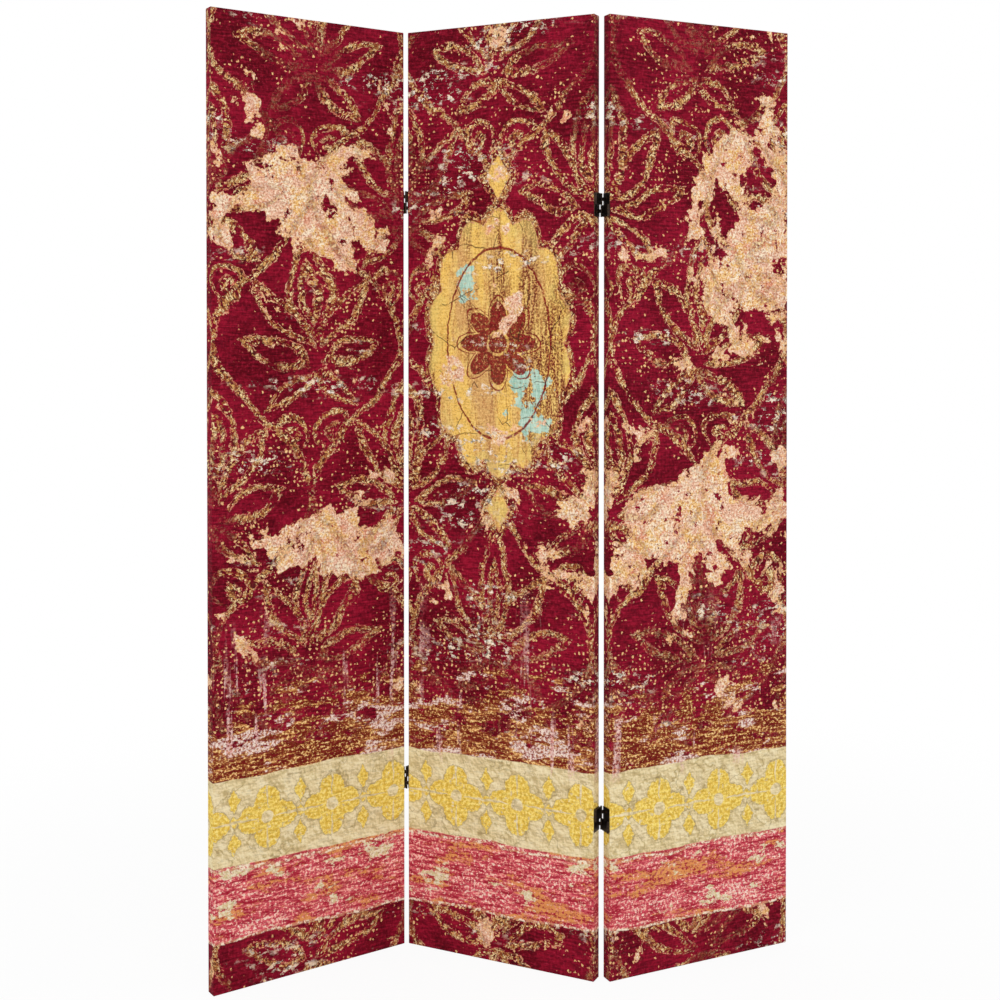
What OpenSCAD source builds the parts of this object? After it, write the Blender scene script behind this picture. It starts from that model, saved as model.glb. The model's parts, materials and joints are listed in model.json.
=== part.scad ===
// Folding screen of three printed canvas panels on two-way hinges.
// Millimetres, +Z up. The front of the screen faces -Y, and the origin lies on the floor, in the middle of the outline.
// The left panel is folded forward from the centre panel and the right panel is folded back, so the screen stands in a Z.

/* [Panels] */
// Width of one panel over its canvas
panel_w = 400; // [300:1:600]
// Height of the panels
panel_h = 1800; // [1500:1:2200]
// Thickness of one panel over both canvases
panel_t = 25; // [22:0.5:36]
// Thickness of the canvas
canvas_t = 0.4; // [0.3:0.05:0.6]
// Radius of the soft edge of the canvas round the frame
edge_r = 1.4; // [0.9:0.1:2.5]
// Width that the front canvas is turned in over the back of the frame
turn_in = 22; // [18:1:30]
// Distance from the panel's edges to the hem of the back canvas
hem_margin = 1.5; // [1:0.1:4]

/* [Stretcher frame] */
// Width of the stiles
stile_w = 38; // [34:1:60]
// Height of the top and bottom rails
rail_w = 38; // [32:1:60]
// Height of the cross rails
cross_rail_w = 30; // [24:1:50]
// Distance that the cross rails stay back from each canvas
cross_rail_inset = 3; // [1:0.5:5]
// Height of the lower cross rail's middle above the floor
lower_cross_rail_z = 600; // [480:1:700]
// Distance of the upper cross rail's middle below the top
upper_cross_rail_drop = 600; // [480:1:700]
// Length of the tenons
tenon_l = 22; // [12:1:26]
// Thickness of the tenons
tenon_t = 8; // [6:0.5:10]
// Shoulder above and below each tenon
tenon_shoulder = 6; // [3:0.5:8]
// Play round the tenons in their mortises
joint_play = 0.1; // [0.05:0.05:0.3]

/* [Staples] */
// Width of a staple's crown
staple_w = 10; // [8:0.5:12]
// Length of a staple's legs
staple_leg = 6; // [4:0.5:7]
// Thickness of the staple wire
staple_wire = 0.6; // [0.4:0.1:0.8]
// Breadth of the staple wire
staple_breadth = 1.2; // [0.8:0.1:1.6]
// Distance of the staples from the panel's edges
staple_inset = 12; // [9:0.5:15]
// Largest spacing of the staples
staple_pitch = 150; // [100:5:300]
// Distance of the outermost staples from the panel's corners
staple_corner = 60; // [50:1:90]

/* [Fold at rest] */
// Angle that the left panel is folded forward, from flat
fold_left = 61; // [0:1:178]
// Angle that the right panel is folded back, from flat
fold_right = 52; // [0:1:178]
// Turn of the centre panel, seen from above
centre_turn = -25.6; // [-90:0.1:90]

/* [Hinges] */
// Gap between the edges of two panels that lie flat
seam_gap = 8.4; // [8:0.1:14]
// Gap between the faces of two panels that are folded shut
fold_gap = 1; // [0.6:0.1:4]
// Height of a hinge
hinge_h = 44; // [40:1:70]
// Thickness of the leaves' sheet metal
leaf_t = 0.9; // [0.7:0.05:1.2]
// Thickness of the link plates
link_t = 1.2; // [0.9:0.05:1.8]
// Diameter of the hinge pins
pin_d = 1.9; // [1.5:0.1:2.4]
// Running clearance round a pin, on the radius
pin_clear = 0.05; // [0.02:0.01:0.1]
// Gap between neighbouring knuckles
knuckle_gap = 0.3; // [0.2:0.05:0.6]
// Gap between the two links of a hinge
link_gap = 0.5; // [0.3:0.05:1]
// Corner radius of the leaves
leaf_corner_r = 1.5; // [0.5:0.1:3]
// Distance of the left seam's upper hinge below the top, to its middle
left_upper_hinge_drop = 333; // [150:1:420]
// Height of the left seam's lower hinge above the floor, to its middle
left_lower_hinge_z = 330; // [150:1:420]
// Distance of the right seam's upper hinge below the top, to its middle
right_upper_hinge_drop = 352; // [150:1:420]
// Height of the right seam's lower hinge above the floor, to its middle
right_lower_hinge_z = 301; // [150:1:420]

/* [Hinge screws] */
// Head diameter of the screws
screw_head_d = 5.2; // [4.4:0.1:6.4]
// Shank diameter of the screws
screw_d = 2.6; // [2:0.1:3]
// Length of the screws
screw_l = 16; // [12:1:25]
// Length of the screws' points
screw_point_l = 3; // [2:0.5:5]
// Distance between the two screws of a leaf
screw_pitch = 26; // [18:1:30]
// Clearance round the screws, on the radius
screw_clear = 0.05; // [0.02:0.01:0.15]

/* [Hidden] */
// Panels, each in its own frame: x along its width, y to its back, origin on the floor in its middle
frame_front = -panel_t / 2 + canvas_t;
frame_back = panel_t / 2 - 2 * canvas_t;
frame_t = frame_back - frame_front;
frame_mid = (frame_front + frame_back) / 2;
frame_w = panel_w - 2 * canvas_t;
frame_h = panel_h - 2 * canvas_t;
frame_r = edge_r - canvas_t;
back_canvas_w = panel_w - 2 * hem_margin;
back_canvas_h = panel_h - 2 * hem_margin;
back_canvas_r = edge_r;
bay_w = frame_w - 2 * stile_w;
cross_rail_t = frame_t - 2 * cross_rail_inset;
lower_cross_z = lower_cross_rail_z;
upper_cross_z = panel_h - upper_cross_rail_drop;
end_rail_z = canvas_t + rail_w / 2;

// Hinges, each in the frame of its seam when that lies flat: y to the back, origin in the middle of the hinge
pin_x = (panel_w + seam_gap) / 2;
pin_y = (panel_t + fold_gap) / 2;
bore_d = pin_d + 2 * pin_clear;
barrel_d = bore_d + 2 * leaf_t;
half_h = (hinge_h - link_gap) / 2;
half_mid = (hinge_h + link_gap) / 4;
knuckle_h = (half_h - 2 * knuckle_gap) / 3;
knuckle_step = knuckle_h + knuckle_gap;
leaf_face = -seam_gap / 2 + leaf_t;
web_w = 2 * pin_y - bore_d;
link_notch_y = pin_y - barrel_d / 2 - 0.4;
left_hinges = [panel_h - left_upper_hinge_drop, left_lower_hinge_z];
right_hinges = [panel_h - right_upper_hinge_drop, right_lower_hinge_z];
head_h = (screw_head_d - screw_d) / 2;

// The screen seen from above: the fold axes, and the middle of its outline
left_axis = [-pin_x, -pin_y];
right_axis = [pin_x, pin_y];
function turned(p, a) = [p.x * cos(a) - p.y * sin(a), p.x * sin(a) + p.y * cos(a)];
function from_left(p) = left_axis + turned(p - [pin_x, -pin_y], fold_left);
function from_right(p) = right_axis + turned(p - [-pin_x, pin_y], fold_right);
function in_row(p) = turned(p, centre_turn);
soft_x = panel_w / 2 - edge_r;
soft_front = -panel_t / 2 + edge_r;
soft_back = panel_t / 2 - canvas_t - edge_r;
edge_rounds = [for (x = [-soft_x, soft_x], y = [soft_front, soft_back]) [x, y]];
hem_corners = [for (x = [-1, 1] * back_canvas_w / 2) [x, panel_t / 2]];
pins_right = [[pin_x, -pin_y], [pin_x, pin_y]];
pins_left = [[-pin_x, -pin_y], [-pin_x, pin_y]];
rounds = [
    for (p = edge_rounds) [in_row(from_left(p)), edge_r],
    for (p = edge_rounds) [in_row(p), edge_r],
    for (p = edge_rounds) [in_row(from_right(p)), edge_r],
    for (p = hem_corners) [in_row(from_left(p)), 0],
    for (p = hem_corners) [in_row(p), 0],
    for (p = hem_corners) [in_row(from_right(p)), 0],
    for (p = pins_right) [in_row(from_left(p)), barrel_d / 2],
    for (p = concat(pins_left, pins_right)) [in_row(p), barrel_d / 2],
    for (p = pins_left) [in_row(from_right(p)), barrel_d / 2]
];
low_x = min([for (c = rounds) c[0].x - c[1]]);
high_x = max([for (c = rounds) c[0].x + c[1]]);
low_y = min([for (c = rounds) c[0].y - c[1]]);
high_y = max([for (c = rounds) c[0].y + c[1]]);
outline_mid = [(low_x + high_x) / 2, (low_y + high_y) / 2];

wood = "burlywood";
print_red = "firebrick";
print_back = "darkred";
bronze = "#2b2320";
steel = "silver";
eps = 0.01;

// Places of the panels in the screen
module on_centre() {
    translate([-outline_mid.x, -outline_mid.y, 0]) rotate([0, 0, centre_turn]) children();
}
module on_left() {
    on_centre() translate(left_axis) rotate([0, 0, fold_left]) translate([-pin_x, pin_y, 0]) children();
}
module on_right() {
    on_centre() translate(right_axis) rotate([0, 0, fold_right]) translate([pin_x, -pin_y, 0]) children();
}

// Rectangle with round corners
module round_rect(w, h, r) {
    square([w - 2 * r, h], center = true);
    square([w, h - 2 * r], center = true);
    for (x = [-1, 1], y = [-1, 1]) translate([x * (w / 2 - r), y * (h / 2 - r)]) circle(r, $fn = 32);
}

// Upright board whose long edges and ends are both rounded, standing on z = 0
module soft_board(w, t, h, r) {
    intersection() {
        linear_extrude(h) round_rect(w, t, r);
        translate([-w / 2, 0, h / 2]) rotate([90, 0, 90]) linear_extrude(w) round_rect(t, h, r);
    }
}

// Canvas stretched over the front of the frame, round its four edges and in over the back
module front_canvas(screws_left, screws_right) {
    color(print_red) difference() {
        translate([0, -canvas_t / 2, 0]) soft_board(panel_w, panel_t - canvas_t, panel_h, edge_r);
        translate([0, frame_mid, canvas_t]) soft_board(frame_w, frame_t, frame_h, frame_r);
        translate([-panel_w / 2 + turn_in, 0, turn_in])
            cube([panel_w - 2 * turn_in, panel_t, panel_h - 2 * turn_in]);
        screw_holes(screws_left, screws_right, screw_head_d / 2 - leaf_t + screw_clear);
    }
}

// Canvas laid over the back, with its hem just inside the panel's edges
module back_canvas() {
    color(print_back) translate([0, panel_t / 2, panel_h / 2]) rotate([90, 0, 0])
        linear_extrude(canvas_t) round_rect(back_canvas_w, back_canvas_h, back_canvas_r);
}

// Holes of one radius for the hinge screws at both edges of a panel
module screw_holes(left_z, right_z, r) {
    for (z = left_z, s = [-1, 1])
        translate([-panel_w / 2 - eps, 0, z + s * screw_pitch / 2]) rotate([0, 90, 0])
            cylinder(h = screw_l, r = r, $fn = 24);
    for (z = right_z, s = [-1, 1])
        translate([panel_w / 2 + eps, 0, z + s * screw_pitch / 2]) rotate([0, -90, 0])
            cylinder(h = screw_l, r = r, $fn = 24);
}

// Tenon, or its mortise when play is given: it starts at x = 0 and runs along +X
module tenon(h, play) {
    tall = h - 2 * tenon_shoulder + 2 * play;
    translate([-eps * sign(play), frame_mid - tenon_t / 2 - play, -tall / 2])
        cube([tenon_l + eps * sign(play) + 5 * play, tenon_t + 2 * play, tall]);
}

// Upright of the frame at one side of the panel: side is -1 at the left and 1 at the right
module stile(side, left_z, right_z) {
    color(wood) difference() {
        translate([0, frame_mid, canvas_t]) intersection() {
            soft_board(frame_w, frame_t, frame_h, frame_r);
            translate([side * (frame_w - stile_w) / 2 - stile_w / 2, -panel_t, 0])
                cube([stile_w, 2 * panel_t, frame_h]);
        }
        for (z = [end_rail_z, panel_h - end_rail_z])
            translate([side * bay_w / 2, 0, z]) to_side(side) tenon(rail_w, joint_play);
        for (z = [lower_cross_z, upper_cross_z])
            translate([side * bay_w / 2, 0, z]) to_side(side) tenon(cross_rail_w, joint_play);
        screw_holes(left_z, right_z, screw_d / 2 + screw_clear);
    }
}

// Turns what runs along +X to the side that is asked for
module to_side(side) {
    mirror([side < 0 ? 1 : 0, 0, 0]) children();
}

// Tenons at both ends of a rail
module tenons(z, tall) {
    for (side = [-1, 1]) translate([side * bay_w / 2, 0, z]) to_side(side) tenon(tall, 0);
}

// Top or bottom rail, whose outer edges are rounded like the stiles'
module end_rail(z) {
    color(wood) {
        intersection() {
            translate([0, frame_mid, canvas_t]) soft_board(frame_w, frame_t, frame_h, frame_r);
            translate([-bay_w / 2, -panel_t, z - rail_w / 2]) cube([bay_w, 2 * panel_t, rail_w]);
        }
        tenons(z, rail_w);
    }
}

// Cross rail, set back from both canvases so that it doesn't show through
module cross_rail(z) {
    color(wood) {
        translate([-bay_w / 2, frame_mid - cross_rail_t / 2, z - cross_rail_w / 2])
            cube([bay_w, cross_rail_t, cross_rail_w]);
        tenons(z, cross_rail_w);
    }
}

// One staple on the back: its crown runs along X and its legs go into the wood
module staple() {
    translate([0, panel_t / 2 - canvas_t, 0]) translate([0, 0, -staple_breadth / 2])
        linear_extrude(staple_breadth) difference() {
            translate([-staple_w / 2, -staple_leg]) square([staple_w, staple_leg]);
            translate([-staple_w / 2 + staple_wire, -staple_leg - eps])
                square([staple_w - 2 * staple_wire, staple_leg - staple_wire + eps]);
        }
}

// Staples round the turn-in, at equal steps along each side
module staples() {
    tall = panel_h - 2 * staple_corner;
    wide = panel_w - 2 * staple_corner;
    rows = ceil(tall / staple_pitch);
    columns = ceil(wide / staple_pitch);
    color(steel) {
        for (i = [0 : rows], side = [-1, 1])
            translate([side * (panel_w / 2 - staple_inset), 0, staple_corner + i * tall / rows])
                rotate([0, 90, 0]) staple();
        for (i = [0 : columns], z = [staple_inset, panel_h - staple_inset])
            translate([-wide / 2 + i * wide / columns, 0, z]) staple();
    }
}

// Rolled knuckle, standing on z = 0
module knuckle() {
    difference() {
        cylinder(h = knuckle_h, d = barrel_d, $fn = 32);
        translate([0, 0, -1]) cylinder(h = knuckle_h + 2, d = bore_d, $fn = 32);
    }
}

// Leaf on the left panel's edge: a knuckle in front in its upper half and one behind in its lower half
module leaf() {
    color(bronze) difference() {
        union() {
            translate([-seam_gap / 2, 0, 0]) rotate([90, 0, 90])
                linear_extrude(leaf_t) round_rect(web_w, hinge_h, leaf_corner_r);
            for (back = [0, 1]) rotate([back * 180, 0, 0])
                translate([0, -pin_y, half_mid - knuckle_h / 2]) {
                    knuckle();
                    translate([-seam_gap / 2, bore_d / 2, 0]) cube([seam_gap / 2, leaf_t, knuckle_h]);
                }
        }
        for (s = [-1, 1]) translate([leaf_face, 0, s * screw_pitch / 2]) rotate([0, -90, 0]) {
            countersink = screw_head_d / 2 + screw_clear;
            translate([0, 0, -eps])
                cylinder(h = leaf_t + 2 * eps, r1 = countersink + eps, r2 = countersink - leaf_t - eps, $fn = 32);
        }
    }
}

// Link across the seam: two knuckles at each of its edges, with a notch between them for the leaf's knuckle
module link() {
    color(bronze) difference() {
        union() {
            for (s = [-1, 1], up = [0, 2]) translate([0, s * pin_y, up * knuckle_step]) cylinder(h = knuckle_h, d = barrel_d, $fn = 32);
            translate([-link_t / 2, -pin_y, 0]) cube([link_t, 2 * pin_y, half_h]);
        }
        for (s = [-1, 1]) {
            translate([0, s * pin_y, -1]) cylinder(h = half_h + 2, d = bore_d, $fn = 32);
            translate([-barrel_d, s > 0 ? link_notch_y : -pin_y - barrel_d, knuckle_h])
                cube([2 * barrel_d, pin_y + barrel_d - link_notch_y, knuckle_h + 2 * knuckle_gap]);
        }
    }
}

// Pin with bevelled ends, standing on z = 0
module pin() {
    bevel = 0.3;
    rotate_extrude($fn = 32) polygon([
        [0, 0], [pin_d / 2 - bevel, 0], [pin_d / 2, bevel],
        [pin_d / 2, half_h - bevel], [pin_d / 2 - bevel, half_h], [0, half_h]
    ]);
}

// Countersunk wood screw in the left leaf, running along -X from the leaf's face
module screw() {
    translate([leaf_face, 0, 0]) rotate([0, -90, 0]) rotate_extrude($fn = 32) polygon([
        [0, 0], [screw_head_d / 2, 0], [screw_d / 2, head_h], [screw_d / 2, screw_l - screw_point_l],
        [0, screw_l]
    ]);
}

// Places in a seam that lies flat: side is 1 where the seam is at the panel's right edge
module at_hinge(side, z) {
    translate([side * pin_x, 0, z]) children();
}
module leaf_at(side, z) {
    at_hinge(side, z) rotate([0, 0, side > 0 ? 0 : 180]) leaf();
}
module top_link_at(side, z) {
    at_hinge(side, z) translate([0, 0, link_gap / 2]) link();
}
module bottom_link_at(side, z) {
    at_hinge(side, z) translate([0, 0, -link_gap / 2 - half_h]) link();
}
module link_pins(side, hinges, low) {
    color(steel) for (z = hinges, s = [-1, 1]) at_hinge(side, z) translate([0, s * pin_y, low]) pin();
}
module top_link_pins(side, hinges) {
    link_pins(side, hinges, link_gap / 2);
}
module bottom_link_pins(side, hinges) {
    link_pins(side, hinges, -link_gap / 2 - half_h);
}
module leaf_screws(side, hinges) {
    color(bronze) for (z = hinges, s = [-1, 1])
        at_hinge(side, z + s * screw_pitch / 2) rotate([0, 0, side > 0 ? 0 : 180]) screw();
}

// Left panel
module left_panel_outer_stile() { on_left() stile(-1, [], left_hinges); }
module left_panel_hinge_stile() { on_left() stile(1, [], left_hinges); }
module left_panel_top_rail() { on_left() end_rail(panel_h - end_rail_z); }
module left_panel_bottom_rail() { on_left() end_rail(end_rail_z); }
module left_panel_upper_cross_rail() { on_left() cross_rail(upper_cross_z); }
module left_panel_lower_cross_rail() { on_left() cross_rail(lower_cross_z); }
module left_panel_front_canvas() { on_left() front_canvas([], left_hinges); }
module left_panel_back_canvas() { on_left() back_canvas(); }
module left_panel_staples() { on_left() staples(); }

// Centre panel
module centre_panel_left_stile() { on_centre() stile(-1, left_hinges, right_hinges); }
module centre_panel_right_stile() { on_centre() stile(1, left_hinges, right_hinges); }
module centre_panel_top_rail() { on_centre() end_rail(panel_h - end_rail_z); }
module centre_panel_bottom_rail() { on_centre() end_rail(end_rail_z); }
module centre_panel_upper_cross_rail() { on_centre() cross_rail(upper_cross_z); }
module centre_panel_lower_cross_rail() { on_centre() cross_rail(lower_cross_z); }
module centre_panel_front_canvas() { on_centre() front_canvas(left_hinges, right_hinges); }
module centre_panel_back_canvas() { on_centre() back_canvas(); }
module centre_panel_staples() { on_centre() staples(); }

// Right panel
module right_panel_hinge_stile() { on_right() stile(-1, right_hinges, []); }
module right_panel_outer_stile() { on_right() stile(1, right_hinges, []); }
module right_panel_top_rail() { on_right() end_rail(panel_h - end_rail_z); }
module right_panel_bottom_rail() { on_right() end_rail(end_rail_z); }
module right_panel_upper_cross_rail() { on_right() cross_rail(upper_cross_z); }
module right_panel_lower_cross_rail() { on_right() cross_rail(lower_cross_z); }
module right_panel_front_canvas() { on_right() front_canvas(right_hinges, []); }
module right_panel_back_canvas() { on_right() back_canvas(); }
module right_panel_staples() { on_right() staples(); }

// Hinges of the left seam: their top links stay with the centre panel and their bottom links with the left panel
module left_seam_upper_hinge_left_leaf() { on_left() leaf_at(1, left_hinges[0]); }
module left_seam_upper_hinge_right_leaf() { on_centre() leaf_at(-1, left_hinges[0]); }
module left_seam_upper_hinge_top_link() { on_centre() top_link_at(-1, left_hinges[0]); }
module left_seam_upper_hinge_bottom_link() { on_left() bottom_link_at(1, left_hinges[0]); }
module left_seam_lower_hinge_left_leaf() { on_left() leaf_at(1, left_hinges[1]); }
module left_seam_lower_hinge_right_leaf() { on_centre() leaf_at(-1, left_hinges[1]); }
module left_seam_lower_hinge_top_link() { on_centre() top_link_at(-1, left_hinges[1]); }
module left_seam_lower_hinge_bottom_link() { on_left() bottom_link_at(1, left_hinges[1]); }
module left_seam_top_link_pins() { on_centre() top_link_pins(-1, left_hinges); }
module left_seam_bottom_link_pins() { on_left() bottom_link_pins(1, left_hinges); }
module left_seam_left_leaf_screws() { on_left() leaf_screws(1, left_hinges); }
module left_seam_right_leaf_screws() { on_centre() leaf_screws(-1, left_hinges); }

// Hinges of the right seam: their top links stay with the centre panel and their bottom links with the right panel
module right_seam_upper_hinge_left_leaf() { on_centre() leaf_at(1, right_hinges[0]); }
module right_seam_upper_hinge_right_leaf() { on_right() leaf_at(-1, right_hinges[0]); }
module right_seam_upper_hinge_top_link() { on_centre() top_link_at(1, right_hinges[0]); }
module right_seam_upper_hinge_bottom_link() { on_right() bottom_link_at(-1, right_hinges[0]); }
module right_seam_lower_hinge_left_leaf() { on_centre() leaf_at(1, right_hinges[1]); }
module right_seam_lower_hinge_right_leaf() { on_right() leaf_at(-1, right_hinges[1]); }
module right_seam_lower_hinge_top_link() { on_centre() top_link_at(1, right_hinges[1]); }
module right_seam_lower_hinge_bottom_link() { on_right() bottom_link_at(-1, right_hinges[1]); }
module right_seam_top_link_pins() { on_centre() top_link_pins(1, right_hinges); }
module right_seam_bottom_link_pins() { on_right() bottom_link_pins(-1, right_hinges); }
module right_seam_left_leaf_screws() { on_centre() leaf_screws(1, right_hinges); }
module right_seam_right_leaf_screws() { on_right() leaf_screws(-1, right_hinges); }

// Draws every piece, or only the one that is asked for
left_panel_outer_stile();
left_panel_hinge_stile();
left_panel_top_rail();
left_panel_bottom_rail();
left_panel_upper_cross_rail();
left_panel_lower_cross_rail();
left_panel_front_canvas();
left_panel_back_canvas();
left_panel_staples();
centre_panel_left_stile();
centre_panel_right_stile();
centre_panel_top_rail();
centre_panel_bottom_rail();
centre_panel_upper_cross_rail();
centre_panel_lower_cross_rail();
centre_panel_front_canvas();
centre_panel_back_canvas();
centre_panel_staples();
right_panel_hinge_stile();
right_panel_outer_stile();
right_panel_top_rail();
right_panel_bottom_rail();
right_panel_upper_cross_rail();
right_panel_lower_cross_rail();
right_panel_front_canvas();
right_panel_back_canvas();
right_panel_staples();
left_seam_upper_hinge_left_leaf();
left_seam_upper_hinge_right_leaf();
left_seam_upper_hinge_top_link();
left_seam_upper_hinge_bottom_link();
left_seam_lower_hinge_left_leaf();
left_seam_lower_hinge_right_leaf();
left_seam_lower_hinge_top_link();
left_seam_lower_hinge_bottom_link();
left_seam_top_link_pins();
left_seam_bottom_link_pins();
left_seam_left_leaf_screws();
left_seam_right_leaf_screws();
right_seam_upper_hinge_left_leaf();
right_seam_upper_hinge_right_leaf();
right_seam_upper_hinge_top_link();
right_seam_upper_hinge_bottom_link();
right_seam_lower_hinge_left_leaf();
right_seam_lower_hinge_right_leaf();
right_seam_lower_hinge_top_link();
right_seam_lower_hinge_bottom_link();
right_seam_top_link_pins();
right_seam_bottom_link_pins();
right_seam_left_leaf_screws();
right_seam_right_leaf_screws();
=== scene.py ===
# %% [markdown]
# # A printed folding screen
# The real screen is three stretched canvases on wooden frames, joined by small two-way hinges so that it
# stands in a Z. The frame, the hinges and the folds are exact solids already. This lesson dresses them: it
# pulls new canvas over the frames, prints a worn ornament on it, and gives wood and metal their surfaces.

# %% Load the solids
import json
import math

import bmesh
import bpy
import numpy as np
from mathutils import Matrix, Vector


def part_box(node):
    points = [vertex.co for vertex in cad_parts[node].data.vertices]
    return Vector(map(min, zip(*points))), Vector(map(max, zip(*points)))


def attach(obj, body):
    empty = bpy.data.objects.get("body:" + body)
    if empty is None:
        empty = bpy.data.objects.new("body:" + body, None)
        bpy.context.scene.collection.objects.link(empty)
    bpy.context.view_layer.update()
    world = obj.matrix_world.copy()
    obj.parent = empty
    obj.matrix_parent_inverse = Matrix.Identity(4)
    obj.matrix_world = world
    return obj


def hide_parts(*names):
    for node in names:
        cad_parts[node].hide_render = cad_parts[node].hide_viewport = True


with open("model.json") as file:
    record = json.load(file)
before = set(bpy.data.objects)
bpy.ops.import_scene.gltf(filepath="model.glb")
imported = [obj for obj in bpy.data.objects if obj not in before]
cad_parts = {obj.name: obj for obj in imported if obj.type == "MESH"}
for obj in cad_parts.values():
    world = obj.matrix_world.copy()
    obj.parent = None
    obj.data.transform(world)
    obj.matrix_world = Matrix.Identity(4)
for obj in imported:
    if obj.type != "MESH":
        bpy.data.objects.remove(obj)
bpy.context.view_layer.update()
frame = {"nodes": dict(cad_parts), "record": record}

solids = frame["nodes"]

# %% [markdown]
# The camera comes first, because every later choice is judged through it. A product photograph like this is
# taken from nearly three metres with a short telephoto lens, held almost level. The picture is shifted inside
# the camera instead of tilting it, which keeps the uprights nearly parallel.

# %% Camera
camera = bpy.data.objects.new("camera", bpy.data.cameras.new("camera"))
bpy.context.collection.objects.link(camera)
camera.location = (0.0695, -2.7627, 1.2084)
camera.rotation_euler = (math.radians(90 - 0.705), 0, 0)
camera.data.lens = 52.3
camera.data.shift_x, camera.data.shift_y = -0.0449, -0.1485
bpy.context.scene.camera = camera
print("camera", round(camera.data.lens, 1), "mm lens at", tuple(round(c, 2) for c in camera.location))

# %% [markdown]
# Each panel stands at its own angle. Its directions are read from its back canvas, whose widest face shows
# where the back is, so nothing here has to know the angles. A matrix then carries whatever is built flat
# and square, with x along the panel and y to its back, to the place where that panel stands.


# %% Where each panel stands
def stand(name):
    """The place of one panel as a matrix, with its width, depth and height."""
    nodes = [solids[f"{name}_panel_{side}_canvas"] for side in ("back", "front")]
    widest = max(nodes[0].data.polygons, key=lambda face: face.area).normal
    to_back = Vector((widest.x, widest.y, 0)).normalized() * (1 if widest.y > 0 else -1)
    to_right = Vector((to_back.y, -to_back.x, 0))
    corners = [v.co for node in nodes for v in node.data.vertices]
    along = [c.dot(to_right) for c in corners]
    inward = [c.dot(to_back) for c in corners]
    middle = to_right * (min(along) + max(along)) / 2 + to_back * (min(inward) + max(inward)) / 2
    place = Matrix.Translation(middle) @ Matrix((to_right, to_back, (0, 0, 1))).transposed().to_4x4()
    return place, max(along) - min(along), max(inward) - min(inward), max(c.z for c in corners)


panels = {name: stand(name) for name in ("left", "centre", "right")}
PANEL_W, PANEL_T, PANEL_H = panels["centre"][1:]
for name, (place, *size) in panels.items():
    print(name, "panel", [round(s, 4) for s in size], "turned", round(math.degrees(place.to_euler().z), 1))

# %% [markdown]
# The front canvas is one piece, pulled over the front, round all four edges and in over the back. A sheet
# pulled tight over a frame is the outside of a box whose edges are soft, so it can be made from flat grids
# on the six sides of a box. Each point is then drawn to the soft edge: it is put at the edge's radius from
# the nearest point of a slightly smaller box.

# %% Steps across a side of the canvas
EDGE_R = 0.0014
CANVAS_T = 0.0004
TURN_IN = 0.022
NEAR_EDGE = (0.004, 0.009, 0.015, TURN_IN)


def steps(start, end, gap, close=()):
    """Places from start to end, close together at both ends and about one gap apart between them."""
    soft = [EDGE_R * s for s in (0, 0.25, 0.5, 0.75, 1)]
    ends = soft + [s for s in close if EDGE_R < s < (end - start) / 2]
    low, high = [start + s for s in ends], [end - s for s in reversed(ends)]
    count = max(1, round((high[0] - low[-1]) / gap))
    return low + [low[-1] + (high[0] - low[-1]) * i / count for i in range(1, count)] + high


across = steps(-PANEL_W / 2, PANEL_W / 2, 0.012, NEAR_EDGE)
upward = steps(0, PANEL_H, 0.014, NEAR_EDGE)
DEPTH = PANEL_T - CANVAS_T
inward = steps(-PANEL_T / 2, -PANEL_T / 2 + DEPTH, 0.003)
print(len(across), "by", len(upward), "points over the front, and", len(inward), "over an edge")

# %% [markdown]
# The print runs on round the edges, so its coordinates are those of the flat cloth in metres: they go on
# past the front's own width and height. The three panels share one picture, so each starts where the panel
# before it ended. These coordinates are kept in a UV map that the ornament reads.


# %% Cloth coordinates
def on_cloth(x, y, z, side, start):
    """Place on the flat cloth of a point of the box. Side names the face of the box that it lies on."""
    s, t, round_edge = x + PANEL_W / 2, z, y + PANEL_T / 2
    if side == "back":
        inward_from = {"left": s, "right": PANEL_W - s, "bottom": t, "top": PANEL_H - t}
        side = min(inward_from, key=inward_from.get)
        round_edge = DEPTH + inward_from[side]
    s = {"left": -round_edge, "right": PANEL_W + round_edge}.get(side, s)
    t = {"bottom": -round_edge, "top": PANEL_H + round_edge}.get(side, t)
    return start + s, t


def drawn_to_edge(x, y, z):
    """The point of the soft-edged board that lies under a point of the box."""
    inner = Vector((
        min(max(x, EDGE_R - PANEL_W / 2), PANEL_W / 2 - EDGE_R),
        min(max(y, EDGE_R - PANEL_T / 2), PANEL_T / 2 - CANVAS_T - EDGE_R),
        min(max(z, EDGE_R), PANEL_H - EDGE_R)))
    out = Vector((x, y, z)) - inner
    return inner + out.normalized() * EDGE_R


BAR_W, FULL_SLACK_AFTER = 0.038, 0.09


def slack(x, z):
    """How far the cloth gives between the bars of the frame: 0.3 mm at most."""
    to_edges = PANEL_W / 2 - abs(x), PANEL_H / 2 - abs(z - PANEL_H / 2)
    free_x, free_z = (min(1, max(0, (edge - BAR_W) / FULL_SLACK_AFTER)) for edge in to_edges)
    ripple = 1 + 0.5 * math.sin(x * 31 + z * 5) * math.sin(z * 11 + 1)
    return 0.0002 * free_x * free_z * ripple


print("cloth coordinates at a top corner", on_cloth(0.2, 0, PANEL_H, "top", 0.4))

# %% [markdown]
# At each top corner the cloth has to be folded. The side is pulled first, and what is left over is laid on
# the top edge as a flat triangle with its crease on the diagonal. It is one thickness of canvas, so it
# is made as a thin raised flap with its own rim.


# %% Front canvas
def new_piece(name, bm, place=Matrix()):
    """Puts finished mesh work into the scene as one object, with the mesh itself carried to its place."""
    mesh = bpy.data.meshes.new(name)
    bm.to_mesh(mesh)
    bm.free()
    mesh.transform(place)
    piece = bpy.data.objects.new(mesh.name, mesh)
    bpy.context.collection.objects.link(piece)
    return piece


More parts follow.
